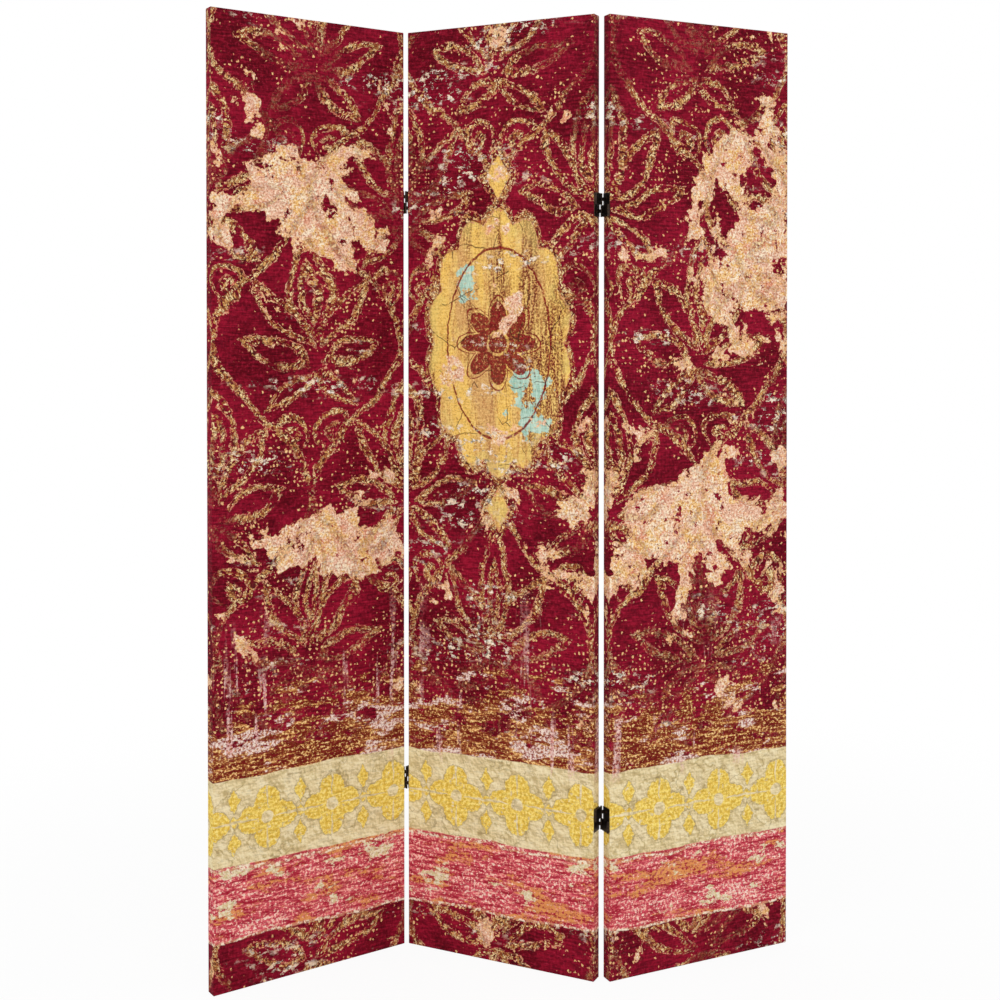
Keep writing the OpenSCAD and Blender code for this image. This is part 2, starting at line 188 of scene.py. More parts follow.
def corner_flap(bm, side):
    """The folded triangle on top of one corner, one canvas thick."""
    x, front, back = side * (PANEL_W / 2 - 0.0006), -PANEL_T / 2 + 0.0016, PANEL_T / 2 - 0.0016
    flat = [(x, front), (x, (front + back) / 2), (x, back), (x - side * 0.01, back),
            (x - side * 0.0205, back), (x - side * 0.0135, back - 0.0075), (x - side * 0.0065, back - 0.0152)]
    low = [bm.verts.new((a, b, PANEL_H - 0.0003)) for a, b in flat]
    high = [bm.verts.new((a - side * 0.0002, b, PANEL_H + 0.00035)) for a, b in flat]
    loops = [high] + [[low[i - 1], low[i], high[i], high[i - 1]] for i in range(len(flat))]
    return [bm.faces.new(loop if side > 0 else loop[::-1]) for loop in loops]


def front_canvas(name, start):
    bm = bmesh.new()
    print_map = bm.loops.layers.uv.new("print")
    sides = {
        "front": (across, upward, lambda a, b: (a, -PANEL_T / 2, b), False),
        "back": (across, upward, lambda a, b: (a, -PANEL_T / 2 + DEPTH, b), True),
        "left": (inward, upward, lambda a, b: (-PANEL_W / 2, a, b), True),
        "right": (inward, upward, lambda a, b: (PANEL_W / 2, a, b), False),
        "bottom": (across, inward, lambda a, b: (a, b, 0), True),
        "top": (across, inward, lambda a, b: (a, b, PANEL_H), False),
    }
    for side, (first, second, box_point, flip) in sides.items():
        grid = {}

        def vertex(i, j):
            if (i, j) not in grid:
                x, y, z = box_point(first[i], second[j])
                point = drawn_to_edge(x, y, z)
                if side == "front":
                    point.y += slack(x, z)
                grid[i, j] = bm.verts.new(point)
            return grid[i, j]

        for i in range(len(first) - 1):
            for j in range(len(second) - 1):
                if side == "back":
                    x, z = (first[i] + first[i + 1]) / 2, (second[j] + second[j + 1]) / 2
                    if abs(x) < PANEL_W / 2 - TURN_IN and TURN_IN < z < PANEL_H - TURN_IN:
                        continue
                around = [(i, j), (i + 1, j), (i + 1, j + 1), (i, j + 1)][::-1 if flip else 1]
                face = bm.faces.new([vertex(*c) for c in around])
                face.smooth = True
                for loop, c in zip(face.loops, around):
                    loop[print_map].uv = on_cloth(*box_point(first[c[0]], second[c[1]]), side, start)
    bmesh.ops.remove_doubles(bm, verts=bm.verts, dist=1e-5)
    for face in corner_flap(bm, -1) + corner_flap(bm, 1):
        for loop in face.loops:
            loop[print_map].uv = on_cloth(*loop.vert.co, "top", start)
    piece = new_piece(f"{name}_stretched_canvas", bm, panels[name][0])
    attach(piece, f"{name}_panel")
    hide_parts(f"{name}_panel_front_canvas")
    return piece


front_pieces = [front_canvas(name, i * PANEL_W) for i, name in enumerate(panels)]
print("front canvases", [len(p.data.polygons) for p in front_pieces], "faces each")

# %% [markdown]
# The back canvas is a second printed sheet that hides the turn-in and the staples. Its raw edge is folded
# under, so a flat hem stands out round it, and the cloth inside the hem lies a little lower. One grid
# whose depth depends on how far a point is from the edge gives the hem, its inner step and its thin rim.

# %% Back canvas
HEM_W, HEM_STEP = 0.0105, 0.0125


def hem_relief(edge):
    """How far the cloth stands out at a distance from its edge."""
    if edge <= 0:
        return -CANVAS_T
    if edge < 0.0008:
        return -0.0001
    return 0.00005 if edge < HEM_W else -0.00035 if edge < HEM_STEP else -0.00025


def hem_steps(start, end, count):
    """Places from start to end: close together over both hems, and count even ones between them."""
    hem = (0, 0.0003, 0.0008, 0.005, HEM_W, 0.0115, HEM_STEP)
    between = np.linspace(start + 0.03, end - 0.03, count)
    return [start + e for e in hem] + list(between) + [end - e for e in reversed(hem)]


def back_canvas(name, start):
    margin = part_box(f"{name}_panel_back_canvas")[0][2]
    half = PANEL_W / 2 - margin
    xs = hem_steps(-half, half, 22)
    zs = hem_steps(margin, PANEL_H - margin, 90)
    bm = bmesh.new()
    print_map = bm.loops.layers.uv.new("print")
    grid = {}
    for i, x in enumerate(xs):
        for j, z in enumerate(zs):
            edge = min(x + half, half - x, z - margin, PANEL_H - margin - z)
            sag = 0.00012 * math.sin(x * 23 + 1) * math.sin(z * 9) if edge > 0.02 else 0
            grid[i, j] = bm.verts.new((x, PANEL_T / 2 + hem_relief(edge) + sag, z))
    for i in range(len(xs) - 1):
        for j in range(len(zs) - 1):
            face = bm.faces.new([grid[c] for c in ((i, j), (i, j + 1), (i + 1, j + 1), (i + 1, j))])
            face.smooth = True
            for loop in face.loops:
                co = loop.vert.co
                loop[print_map].uv = (3 * PANEL_W - start - co.x - PANEL_W / 2, co.z)
    piece = new_piece(f"{name}_back_sheet", bm, panels[name][0])
    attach(piece, f"{name}_panel")
    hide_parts(f"{name}_panel_back_canvas")
    return piece


back_pieces = [back_canvas(name, i * PANEL_W) for i, name in enumerate(panels)]
print("back canvases", [len(p.data.polygons) for p in back_pieces], "faces each")

# %% [markdown]
# A print this busy is built like a print is: layer over layer, each with its own mask. Masks are arithmetic
# on the cloth's coordinates, which is dozens of small Math nodes. A little class keeps that readable. A
# `Field` is a number that changes over the surface, and plus, minus and times on it add the nodes.


# %% A field of numbers over the surface
def join(value, socket):
    """Links a field to a socket, or sets a plain number, vector or colour on it."""
    if isinstance(value, Field):
        socket.id_data.links.new(value.socket, socket)
    else:
        socket.default_value = value


def math_node(kind, *first):
    """A method of Field that adds one Math node of this kind."""
    return lambda field, *values: field.math(kind, *first, *values)


class Field:
    """A number, vector or colour that changes over the surface."""

    def __init__(self, socket):
        self.socket, self.tree = socket, socket.id_data

    def add_node(self, kind, *values, output=0, **settings):
        node = self.tree.nodes.new(f"ShaderNode{kind}")
        for setting, value in settings.items():
            setattr(node, setting, value)
        for socket, value in zip(node.inputs, values):
            if value is not None:
                join(value, socket)
        return Field(node.outputs[output])

    def math(self, kind, *values):
        return self.add_node("Math", self, *values, operation=kind)

    __add__ = __radd__ = math_node("ADD")
    __sub__, __rsub__ = math_node("SUBTRACT"), math_node("MULTIPLY_ADD", -1.0)
    __mul__ = __rmul__ = math_node("MULTIPLY")
    __truediv__, __abs__ = math_node("DIVIDE"), math_node("ABSOLUTE")
    low, high = math_node("MINIMUM"), math_node("MAXIMUM")

    def repeat(self):
        """The field cut into lengths of one, each running from -0.5 to 0.5."""
        return (self + 0.5).math("FRACT") - 0.5

    def rise(self, start, end):
        """0 up to start and 1 from end on, with a smooth slope between. Start may be the larger."""
        return self.add_node("MapRange", self, start, end, interpolation_type="SMOOTHSTEP")

    def xy(self):
        x = self.add_node("SeparateXYZ", self)
        return x, Field(x.socket.node.outputs[1])

    def length(self):
        return self.add_node("VectorMath", self, operation="LENGTH", output=1)


def pair(x, y):
    """Two fields as one vector."""
    return x.add_node("CombineXYZ", x, y)


def linear(r, g, b):
    """A colour in the usual 0 to 255 of a screen, as Blender's linear colour."""
    return tuple(((c / 255 + 0.055) / 1.055) ** 2.4 if c > 10 else c / 3294.6 for c in (r, g, b)) + (1.0,)


def mix(amount, under, over, way="MIX"):
    """Paints one colour over another by an amount from 0 to 1. Plain colours are as on a screen."""
    node = amount.tree.nodes.new("ShaderNodeMix")
    node.data_type, node.blend_type = "RGBA", way
    join(amount, node.inputs[0])
    for slot, colour in ((6, under), (7, over)):
        join(colour if isinstance(colour, Field) else linear(*colour), node.inputs[slot])
    return Field(node.outputs[2])


def layers(under, *coats):
    """Paints coats over a colour in turn. Each coat is an amount from 0 to 1 and a colour."""
    for amount, over in coats:
        under = mix(amount, under, over)
    return under


print("crimson in linear light", [round(c, 3) for c in linear(118, 10, 32)])

# %% [markdown]
# Most of what makes a surface look real is noise at the right size. All of it is two-dimensional here,
# because it lies on cloth. A stretch makes brush strokes and threads, and an offset keeps two noises from
# falling on each other. Broken paint comes from the borders between cells.


# %% Noise and cells on the cloth
def moved(point, offset, stretch=(1, 1)):
    return point.add_node("Mapping", point, (*offset, 0), None, (*stretch, 1), vector_type="POINT")


def noise(point, size, detail=2.0, rough=0.5, offset=(0, 0), stretch=(1, 1), vector=False):
    """Cloudy noise whose blots are about size metres across. Stretch above 1 packs them along that axis."""
    place = moved(point, offset, stretch)
    return place.add_node("TexNoise", place, None, 1 / size, detail, rough,
                          output=1 if vector else 0, noise_dimensions="2D")


def cells(point, size, offset, feature):
    place = moved(point, offset)
    return place.add_node("TexVoronoi", place, None, 1 / size, voronoi_dimensions="2D", feature=feature)


def cell_gaps(point, size, offset=(0, 0)):
    """Distance to the nearest border of broken cells about size metres across, as a share of a cell."""
    return cells(point, size, offset, "DISTANCE_TO_EDGE")


def cell_dots(point, size, offset=(0, 0)):
    """Distance from the middle of each cell, and two random tones for each."""
    dots = cells(point, size, offset, "F1")
    return dots, *Field(dots.socket.node.outputs["Color"]).xy()


def pushed(point, push, by):
    """The point moved by a vector noise, whose middle is taken as half."""
    out = point.add_node("VectorMath", push, (by,) * 3, point, operation="MULTIPLY_ADD")
    return out.add_node("VectorMath", out, (-by / 2, -by / 2, 0), operation="ADD")


ZERO = (0, 0, 0)


def new_group(name, inputs, outputs):
    """An empty node group, with its inputs as fields and its output sockets. Inputs have default values."""
    group = bpy.data.node_groups.new(name, "ShaderNodeTree")
    for label, value in inputs.items():
        kind = "Vector" if isinstance(value, tuple) else "Float"
        socket = group.interface.new_socket(label, in_out="INPUT", socket_type=f"NodeSocket{kind}")
        socket.default_value = value
    for label in outputs:
        kind = "Color" if label == "Colour" else "Float"
        group.interface.new_socket(label, in_out="OUTPUT", socket_type=f"NodeSocket{kind}")
    given = group.nodes.new("NodeGroupInput")
    wanted = group.nodes.new("NodeGroupOutput")
    return group, [Field(s) for s in given.outputs[:-1]], list(wanted.inputs)[:-1]


def use(group, first, *values):
    """Places a group in the tree that the first value belongs to, and gives back its outputs."""
    node = first.tree.nodes.new("ShaderNodeGroup")
    node.node_tree = group
    for socket, value in zip(node.inputs, (first, *values)):
        join(value, socket)
    return [Field(s) for s in node.outputs]


print("noise, cells and groups are ready")

# %% [markdown]
# A leaf of the ornament is the shape that two equal circles share. Seen from its middle, one rule serves
# both halves: the distance to the far circle's rim. The group turns the cloth to the leaf's own direction
# first, so the same group draws every leaf, and gives back the distance to its outline.

# %% Leaf outline
leaf_group, (point, middle, angle, length, width), (leaf_out,) = new_group(
    "leaf outline",
    {"Point": ZERO, "Middle": ZERO, "Angle": 0.0, "Half Length": 0.05, "Half Width": 0.015}, ["Distance"])
turned = point.add_node("VectorMath", point, middle, operation="SUBTRACT")
turned = turned.add_node("VectorRotate", turned, None, None, angle, rotation_type="Z_AXIS")
leaf_x, leaf_y = turned.xy()
radius = (length * length + width * width) / (width * 2)
join(pair(abs(leaf_x) + (radius - width), leaf_y).length() - radius, leaf_out)
print("leaf outline:", len(leaf_group.nodes), "nodes")

# %% [markdown]
# Ogee trellis is one of the oldest textile patterns: wavy lines that lean together and apart. Every second
# line is the mirror of the one beside it, so they meet in points and leave pointed ovals between them,
# half-dropped from row to row. A palmette of leaves fills each oval, with a pair of curls at its foot.

# %% Trellis and palmettes
CELL_W, CELL_H = 0.4, 0.56
CURL_X, CURL_DOWN, CURL_GAP, CURL_R = 0.046, 0.17, 0.027, 0.04
trellis_group, (point,), (lines_out,) = new_group("ogee trellis", {"Point": ZERO}, ["Distance"])
s, t = moved(point, (0.1, -0.07)).xy()
u, v = s / CELL_W, t / CELL_H
sway = (v * math.tau).math("COSINE") * 0.25
lean = (v * math.tau).math("SINE") * (0.25 * math.tau * CELL_W / CELL_H)
upright = (lean * lean + 1.0).math("INVERSE_SQRT")
wavy = abs((u - sway).repeat()).low(abs((u + sway - 0.5).repeat())) * upright * CELL_W

first_x, first_y = (u - 0.75).repeat(), v.repeat()
inside = (abs(first_x) + abs(first_y)).math("LESS_THAN", 0.5)
drop_x = first_x - first_x.math("SIGN") * 0.5
drop_y = first_y - first_y.math("SIGN") * 0.5
x = (drop_x + (first_x - drop_x) * inside) * CELL_W
y = (drop_y + (first_y - drop_y) * inside) * CELL_H
half = pair(abs(x), y)
leaves = [((0, 0.098), 0, 0.092, 0.034), ((0.056, 0.056), -0.62, 0.076, 0.023),
          ((0.082, -0.014), -1.22, 0.062, 0.02), ((0.046, -0.086), -2.2, 0.052, 0.016),
          ((0, 0.09), 0, 0.052, 0.012)]
motif = wavy
for at, turn, long, wide in leaves:
    motif = motif.low(abs(use(leaf_group, half, (*at, 0), -turn, long, wide)[0]))
curl_x, curl_y = abs(x) - CURL_X, y + CURL_DOWN
reach = pair(curl_x, curl_y).length()
swing = curl_y.math("ARCTAN2", curl_x) / math.tau
curl = abs((reach / CURL_GAP - swing).repeat()) * CURL_GAP + (reach - CURL_R).high(0.0) * 3.0
join(motif.low(curl), lines_out)
print("ogee trellis:", len(trellis_group.nodes), "nodes")

# %% [markdown]
# Gilding on such a print looks rubbed and cracked. Each line is a crowd of flakes, from dark brown to
# cream, with the ground between them, and a thin broken rim at both sides. Broken cells give the flakes:
# the distance to a cell's border makes the gap, and the cell's random tones choose its colour and whether
# it has been rubbed away. The group turns a distance into that, so trellis and medallion share it.

# %% Gilded line
FLAKE = 0.0038
gilt_group, (point, distance, breadth), (gilt_colour, gilt_mask) = new_group(
    "gilded line", {"Point": ZERO, "Distance": 0.0, "Half Width": 0.006}, ["Colour", "Mask"])
press = noise(point, 0.06, 2, 0.6, (3.1, 7.7))
shake = noise(point, 0.0046, 3, 0.65, vector=True)
worn = noise(point, 0.034, 4, 0.65, (9, 2))
distance = distance + (shake.xy()[0] - 0.5) * 0.0085
breadth = breadth * (0.25 + press * 1.6)
body = distance.rise(breadth, breadth - 0.0016)
rim_left = noise(point, 0.011, 3, 0.7, (1, 5)).rise(0.46, 0.53)
rim = abs(distance - breadth - 0.0008).rise(0.0015, 0.0005) * rim_left
shaken = pushed(point, shake, 0.0056)
_, tone, second_tone = cell_dots(shaken, FLAKE)
flakes = cell_gaps(shaken, FLAKE).rise(0.02, 0.14) * (tone + worn * 1.6).rise(1.04, 1.16)
gold = layers(
    mix(second_tone.rise(0.1, 0.45), (150, 78, 44), (214, 160, 96)),
    (second_tone.rise(0.5, 0.85), (246, 216, 160)),
    (rim, mix(tone, (206, 88, 72), (242, 198, 156))))
shown = (body * flakes).high(rim)
between = mix(worn.rise(0.42, 0.56), (96, 14, 20), (58, 40, 26))
join(mix(shown, between, gold), gilt_colour)
join(shown.high(body * (worn.rise(0.36, 0.6) * 0.5 + 0.15)), gilt_mask)
print("gilded line:", len(gilt_group.nodes), "nodes")

# %% [markdown]
# Torn paint has a coast like an island's: it is ragged at every size. Noise with many octaves has exactly
# that, when it is cut at one level. The group is given a wide mask that says where patches may lie, and
# gives back the torn patch and the thin lighter lip along its coast. Dragged paint is noise too, only
# stretched along the brush.

# %% Torn patches and dragged paint
torn_group, (point, where, size), (torn_out, lip_out) = new_group(
    "torn patch", {"Point": ZERO, "Where": 0.5, "Size": 0.12}, ["Patch", "Lip"])
scale = size.add_node("Math", 1.0, size, operation="DIVIDE")
coast = point.add_node("TexNoise", point, None, scale, 9.0, 0.62, noise_dimensions="2D")
level = coast + where
join(level.rise(0.99, 1.006), torn_out)
join(abs(level - 1.0).rise(0.016, 0.006), lip_out)

drag_group, (point, along), (drag_out, grit_out) = new_group(
    "dragged paint", {"Point": ZERO, "Along": (1.0, 8.0, 1.0)}, ["Strokes", "Grit"])
stretched = point.add_node("VectorMath", point, along, operation="MULTIPLY")
strokes = noise(stretched, 0.035, 5, 0.62)
fine = noise(stretched, 0.0075, 2, 0.6, (4, 1))
join(strokes * 0.62 + fine * 0.38, drag_out)
join(noise(point, 0.0052, 2, 0.7, (0, 8)), grit_out)
print("torn patch:", len(torn_group.nodes), "nodes, dragged paint:", len(drag_group.nodes), "nodes")

# %% [markdown]
# Canvas is woven, so its threads cross over and under. At arm's length the single threads melt together
# and what stays are slubs: short thick stretches of yarn that run along the weft. The group gives both, the
# over-and-under for close views and the slubs for the picture's own grain.

# %% Canvas weave
THREAD_PITCH = 0.0009
weave_group, (point, pitch), (weave_height, slub_out) = new_group(
    "canvas weave", {"Point": ZERO, "Pitch": THREAD_PITCH}, ["Height", "Slub"])
s, t = point.xy()
wobble = noise(point, 0.02, 2, 0.5) * 0.0006
warp = ((s + wobble) / pitch * math.pi).math("SINE")
weft = ((t + wobble) / pitch * math.pi).math("SINE")
checks = (s / pitch).math("FLOOR") + (t / pitch).math("FLOOR")
over = (checks * 0.5).math("FRACT").math("GREATER_THAN", 0.25)
thread = abs(warp) * over + abs(weft) * (1.0 - over)
long_slubs = noise(point, 0.026, 3, 0.6, (2, 3), (1, 7))
short_slubs = noise(point, 0.009, 1, 0.5, (5, 1), (2.4, 1))
slub = long_slubs * 0.75 + short_slubs * 0.25
join(thread * 0.6 + slub * 1.6, weave_height)
join(slub, slub_out)
print("canvas weave:", len(weave_group.nodes), "nodes")

# %% [markdown]
# Now the picture itself, from the ground up: crimson with its clouds, a medallion of dragged gold on the
# middle panel, the gilded trellis, torn patches of peach plaster, and three borders across the foot. All
# places are metres on the flat cloth. A slow wave and a quick one shake them first, so that nothing is
# ruled or exactly repeated. The medallion is shaken less, because its lobes have to stay even.

# %% The ornament: shaken coordinates and crimson ground
ornament, (cloth, slub), (colour_out,) = new_group(
    "worn ornament", {"Cloth": ZERO, "Slub": 0.5}, ["Colour"])
slow = noise(cloth, 0.18, 2, 0.5, (1.3, 0.4), vector=True)
quick = noise(cloth, 0.022, 2, 0.5, (6, 2), vector=True)
drawn = pushed(pushed(cloth, slow, 0.06), quick, 0.009)
firm = pushed(cloth, quick, 0.007)
s, t = cloth.xy()

clouds = noise(cloth, 0.14, 4, 0.6, (2.2, 9.1))
mottle = noise(cloth, 0.006, 3, 0.65, (8, 4))
thick = slub - 0.5
crumbs = pushed(cloth, noise(cloth, 0.005, 3, 0.65, vector=True), 0.008)
specks, speck_tone, speck_size = cell_dots(crumbs, 0.008, (0.3, 0.9))
above_borders = t.rise(0.72, 0.56) * t.rise(0.4, 0.5) * 0.9
near_gold = noise(cloth, 0.17, 3, 0.6, (4.4, 6.1)).rise(0.46, 0.68).high(above_borders)
specks = specks.rise(speck_size * 0.3 + 0.05, speck_size * 0.26) * (
    speck_tone + near_gold * 0.62).rise(0.92, 0.96)
picture = layers(
    mix(clouds.rise(0.35, 0.66), (97, 5, 21), (135, 14, 39)),
    (mottle.rise(0.5, 0.76) * 0.5, (170, 38, 66)),
    (mottle.rise(0.45, 0.28) * 0.5, (58, 1, 20)),
    (thick.rise(0, 0.12) * 0.3, (52, 1, 14)),
    (thick.rise(-0.02, -0.14) * 0.26, (164, 24, 54)),
    (specks, mix(speck_size, (206, 96, 84), (242, 198, 136))))
print("ground:", len(ornament.nodes), "nodes")

# %% [markdown]
# The medallion is an oval with a scalloped rim and a small lozenge at each end, as carpets and book
# bindings have had for centuries. Its paint is dragged upright in yellow and tan bands, rubbed to brown in
# columns and a little greener along its rim, with hairline cracks and two patches of verdigris. A soft oval
# says where each patch may lie, so that its noise thins out instead of ending.


# %% The ornament: scalloped medallion
def oval(x, y, middle_x, middle_y, half_x, half_y):
    """1 in the middle of an oval, falling to 0 at its rim and below 0 outside."""
    sideways, upwards = (x - middle_x) / half_x, (y - middle_y) / half_y
    return 1.0 - (sideways * sideways + upwards * upwards)


MEDALLION_X, MEDALLION_UP, MEDALLION_HALF_W, MEDALLION_HALF_H = 0.6, 1.19, 0.158, 0.262
mx, my = moved(firm, (-MEDALLION_X, -MEDALLION_UP)).xy()
ex, ey = mx / MEDALLION_HALF_W, my / MEDALLION_HALF_H
spread = pair(ex, ey).length()
scallops = abs((ey.math("ARCTAN2", ex) * 7.0).math("SINE")) * 0.105
finial = (abs(mx) / 0.026 + abs(abs(my) - 0.318) / 0.044 - 1.0) * 0.019
medallion = ((spread - 0.88 - scallops) * 0.185).low(finial)
on_medallion = medallion.rise(0.0006, -0.001)

strokes, grit = use(drag_group, cloth, (6.5, 0.8, 1.0))
sand = noise(cloth, 0.004, 2, 0.7, (6, 3))
bands = noise(cloth, 0.05, 3, 0.55, (1, 8), (1, 0.15))
columns = noise(cloth, 0.06, 2, 0.55, (3.2, 4), (1, 0.1)).rise(0.5, 0.6)
rubbed = mix(sand.rise(0.44, 0.66), (108, 42, 34), (208, 142, 78))
at_rim = medallion.rise(-0.034, -0.01) * noise(cloth, 0.07, 3, 0.6, (4, 2)).rise(0.46, 0.58)
greens = [use(torn_group, cloth, oval(s, t, *spot).high(-0.9) * 0.3 + level, size)[0]
          for spot, level, size in (((0.668, 1.08, 0.07, 0.1), 0.27, 0.05),
                                    ((0.53, 1.31, 0.04, 0.06), 0.26, 0.035))]
verdigris = greens[0].high(greens[1]) * grit.rise(0.28, 0.38)
rosette_reach = pair(mx, my).length()
petals = rosette_reach - (abs((my.math("ARCTAN2", mx) * 4.0).math("COSINE")) * 0.036 + 0.044)
rosette = petals.rise(0.0008, -0.001) * abs(rosette_reach - 0.022).rise(0.002, 0.0035)
rosette = rosette.high(abs(petals - 0.01).rise(0.0026, 0.001)).high(abs(spread - 0.7).rise(0.014, 0.006))
rosette = rosette * (strokes * 0.5 + grit * 0.6).rise(0.42, 0.5)
cracks = cell_gaps(drawn, 0.075, (1, 3)).rise(0.016, 0.006)
cracks = cracks * noise(cloth, 0.05, 2, 0.5).rise(0.5, 0.56)
paint = layers(
    mix(strokes.rise(0.36, 0.6), (210, 152, 82), (240, 200, 116)),
    (bands.rise(0.48, 0.6) * 0.75, (246, 200, 98)),
    (bands.rise(0.46, 0.34) * 0.65, (206, 152, 100)),
    (sand.rise(0.52, 0.72) * 0.6, (252, 220, 146)),
    ((sand + strokes * 0.6).rise(0.76, 0.62) * 0.6, (168, 106, 62)),
    (columns * (strokes * 0.9 + sand * 0.4).rise(0.78, 0.58), rubbed),
    (at_rim * 0.35, (224, 204, 118)),
    (verdigris, mix(strokes.rise(0.36, 0.6), (146, 190, 172), (196, 222, 204))),
    (rosette * 0.94, mix(mottle.rise(0.4, 0.6), (104, 8, 22), (142, 26, 34))),
    (cracks * 0.8, (66, 40, 26)))
picture = mix(on_medallion * (0.8 + grit.rise(0.28, 0.34) * 0.2), picture, paint)
print("medallion:", len(ornament.nodes), "nodes")

# %% [markdown]
# One distance serves every gilded line, because the nearest of two lines is the smaller of their distances.
# Wide areas of the gilding are nearly rubbed off, which leaves calm crimson between the busy parts. Small
# grey and cream chips lie in a few places where the paint has come away.

# %% The ornament: gilded lines and chips
trellis = use(trellis_group, drawn)[0] + on_medallion
rings = abs(medallion - 0.005)
gilding_left = noise(cloth, 0.22, 4, 0.6, (7, 3)).rise(0.37, 0.48)
gilding_left = gilding_left * t.rise(0.52, 0.7).high(t.rise(0.14, 0.1))
gilt_paint, gilt_shown = use(gilt_group, drawn, trellis.low(rings), 0.0056)
gilt_shown = gilt_shown * (gilding_left * 0.86 + 0.14).high(rings.rise(0.02, 0.012))

chip_where = noise(cloth, 0.17, 3, 0.6, (0.5, 2.5), (0.5, 1.7)).rise(0.57, 0.69)
chip_tone = noise(cloth, 0.012, 2, 0.5, (3, 9))
chips = noise(cloth, 0.016, 5, 0.72, (3, 3), (0.8, 1.2)).rise(0.56, 0.585) * chip_where
chip_paint = mix(chip_tone.rise(0.4, 0.52), (142, 134, 118), (238, 214, 184))
chip_paint = mix(mottle.rise(0.5, 0.62), chip_paint, (250, 240, 226))
picture = layers(picture, (gilt_shown, gilt_paint), (chips, chip_paint))
print("trellis and chips:", len(ornament.nodes), "nodes")

# %% [markdown]
# Crumbled plaster is never one colour. Slow noises say where it is peach, ochre, rose or nearly white, and
# small broken cells only shift those borders a little. Sand lightens and darkens it grain by grain, and
# fine dark veins run between some of the cells.

# %% The ornament: torn peach patches
peach_where = oval(s, t, 0.96, 0.86, 0.3, 0.13)
for spot in ((0.16, 1.47, 0.26, 0.1), (1.1, 1.4, 0.14, 0.24), (0.26, 0.8, 0.17, 0.1)):
    peach_where = peach_where.high(oval(s, t, *spot))
peach, peach_lip = use(torn_group, drawn, peach_where.high(-0.6) * 0.16 + 0.425, 0.11)
_, crumb, second_crumb = cell_dots(crumbs, 0.0036)
mood = noise(cloth, 0.05, 5, 0.7, (5, 5)) + (crumb - 0.5) * 0.1
pale = second_crumb * 0.5 + noise(cloth, 0.06, 5, 0.7, (2, 6))
veins = cell_gaps(crumbs, 0.0036).rise(0.1, 0.03) * mottle.rise(0.46, 0.6)
plaster = layers(
    mix(mood.rise(0.46, 0.58), (236, 182, 152), (238, 186, 104)),
    (noise(cloth, 0.04, 5, 0.7, (8, 1)).rise(0.53, 0.66), (222, 140, 108)),
    (pale.rise(0.76, 1.0), (252, 230, 198)),
    (sand.rise(0.5, 0.7) * 0.8, (255, 240, 216)),
    (sand.rise(0.48, 0.3) * 0.8, (166, 92, 62)),
    (veins * 0.6, (150, 70, 50)))
gaps = noise(cloth, 0.03, 5, 0.7, (2, 2)).rise(0.37, 0.355)
picture = layers(
    picture,
    (peach * (1.0 - gaps) * (1.0 - gilt_shown * 0.8), plaster),
    (peach_lip * grit.rise(0.4, 0.5) * 0.8, (244, 190, 140)))
print("patches:", len(ornament.nodes), "nodes")

# %% [markdown]
# The borders run level round the foot of all three panels, each with a torn upper and lower edge. The ochre
# one is dragged along its length, and more of it is lost towards its top.

# %% The ornament: ochre border
OCHRE_FOOT, CREAM_FOOT, CREAM_TOP, ROSE_FOOT, ROSE_TOP = 0.372, 0.226, 0.392, 0.09, 0.232
edge_wave = noise(cloth, 0.11, 6, 0.6, (1, 6), (0.6, 1)) - 0.5
level, gentle, rose_level = [t + edge_wave * by for by in (0.05, 0.02, 0.022)]
ochre = level.rise(OCHRE_FOOT, OCHRE_FOOT + 0.003) * level.rise(0.58, 0.56)

along, grain = use(drag_group, cloth, (0.8, 5.5, 1.0))
blotch = noise(cloth, 0.075, 5, 0.66, (9, 9), (0.5, 1.5))
lilac = mix(grain.rise(0.4, 0.6), (190, 136, 134), (240, 220, 206))
ochre_paint = layers(
    mix((along * 0.8 + blotch * 0.8).rise(0.74, 0.94), (112, 30, 20), (180, 112, 66)),
    ((along + grain * 0.8).rise(0.91, 1.05) * 0.9, (234, 174, 96)),
    ((along * 0.8 + grain).rise(1.0, 1.12), (246, 210, 148)),
    (blotch.rise(0.545, 0.575) * (grain + mottle).rise(0.84, 0.98), lilac))
fade = (level - 0.42).high(0.0) * 1.6
ochre_left = (noise(cloth, 0.045, 6, 0.68, (2, 7), (0.6, 1.3)) - fade).rise(0.37, 0.4)
picture = mix(ochre * ochre_left * (0.3 + (grain + along).rise(0.74, 0.9) * 0.7), picture, ochre_paint)
print("ochre border:", len(ornament.nodes), "nodes")

# %% [markdown]
# The cream border is crumpled paper. The difference of one noise read at two places three millimetres
# apart shades its folds, as light from one side would, and thin dark creases run between them. On it is a
# row of yellow quatrefoils, with buds between.

# %% The ornament: cream border with its quatrefoils
QUATREFOIL_GAP, BUD_ALONG, QUATREFOIL_UP = 0.1333, 0.0667, 0.309
fs, ft = moved(firm, (0.026, -QUATREFOIL_UP)).xy()
fs = (fs / QUATREFOIL_GAP).repeat() * QUATREFOIL_GAP
petal_reach, petal_turn = pair(fs, ft).length(), ft.math("ARCTAN2", fs) * 2.0
quatrefoil = petal_reach - (abs(petal_turn.math("COSINE")) * 0.022 + 0.036)
from_bud = abs(abs(fs) - BUD_ALONG)
bud = (from_bud + abs(abs(ft) - 0.04) * 0.6 - 0.013).low(from_bud + abs(ft) - 0.011)
petals_edge = quatrefoil.low(bud) + (noise(cloth, 0.008, 3, 0.6, (5, 9)) - 0.5) * 0.01
outline = abs(petals_edge - 0.0014).rise(0.0022, 0.0006) * grain.rise(0.34, 0.5)
yellow = petals_edge.rise(0.001, -0.0006) * (petal_reach - 0.012).rise(-0.001, 0.001)
yellow = yellow * abs(petal_turn.math("SINE")).rise(0.05, 0.12).high(petal_reach.rise(0.022, 0.016))
